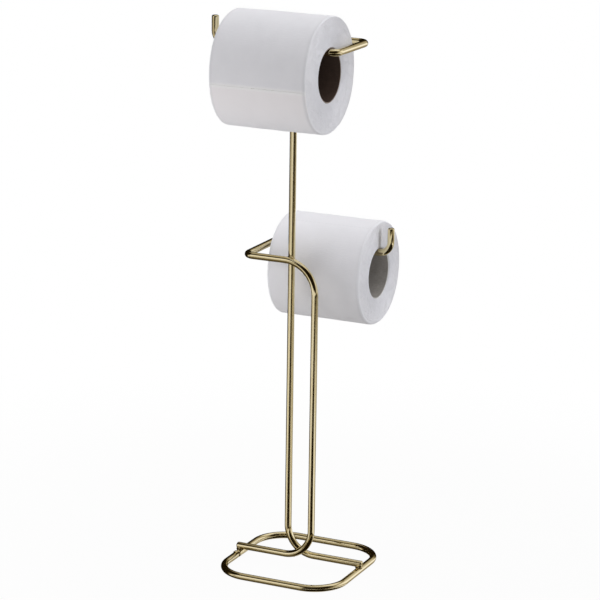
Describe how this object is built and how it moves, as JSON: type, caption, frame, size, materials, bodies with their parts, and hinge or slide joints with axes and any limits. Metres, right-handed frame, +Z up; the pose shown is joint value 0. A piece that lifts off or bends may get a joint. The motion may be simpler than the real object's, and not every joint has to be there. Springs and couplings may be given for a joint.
{
  "type": "toilet paper stand",
  "caption": "Free-standing wire stand that holds toilet rolls on staggered arms with upturned tips above a round-cornered base ring; each roll turns on its core and lifts over its arm's tip.",
  "frame": {"origin": "on the floor at the middle of the base ring", "axes": "+Z up, X along the arms and rolls, -Y to the front, the side of the upper roll"},
  "size_m": [0.1404, 0.2492, 0.5807],
  "materials": {
    "brass_plating": "polished",
    "tissue": "matte",
    "core_board": "matte"
  },
  "bodies": {
    "stand": {"base_ring": "brass_plating", "base_ring_butt_weld": "brass_plating", "lower_arm_wire": "brass_plating", "pole_wire": "brass_plating", "left_foot_weld": "brass_plating", "right_foot_weld": "brass_plating", "foot_bends_weld": "brass_plating", "arm_bend_weld": "brass_plating"},
    "lower_core": {"lower_roll_core": "core_board"},
    "lower_paper": {"lower_roll_paper": "tissue"},
    "upper_core": {"upper_roll_core": "core_board"},
    "upper_paper": {"upper_roll_paper": "tissue"}
  },
  "joints": [
    {"name": "lower_roll_lift", "type": "slide", "parent": "stand", "child": "lower_core", "axis": [0, 0, 1], "range_m": [0, 0.043]},
    {"name": "lower_roll_spin", "type": "hinge", "parent": "lower_core", "child": "lower_paper", "pos_m": [0.0019, 0.0695, 0.2997], "axis": [1, 0, 0], "continuous": true},
    {"name": "upper_roll_lift", "type": "slide", "parent": "stand", "child": "upper_core", "axis": [0, 0, 1], "range_m": [0, 0.043]},
    {"name": "upper_roll_spin", "type": "hinge", "parent": "upper_core", "child": "upper_paper", "pos_m": [0.0071, -0.0695, 0.5241], "axis": [1, 0, 0], "continuous": true}
  ]
}
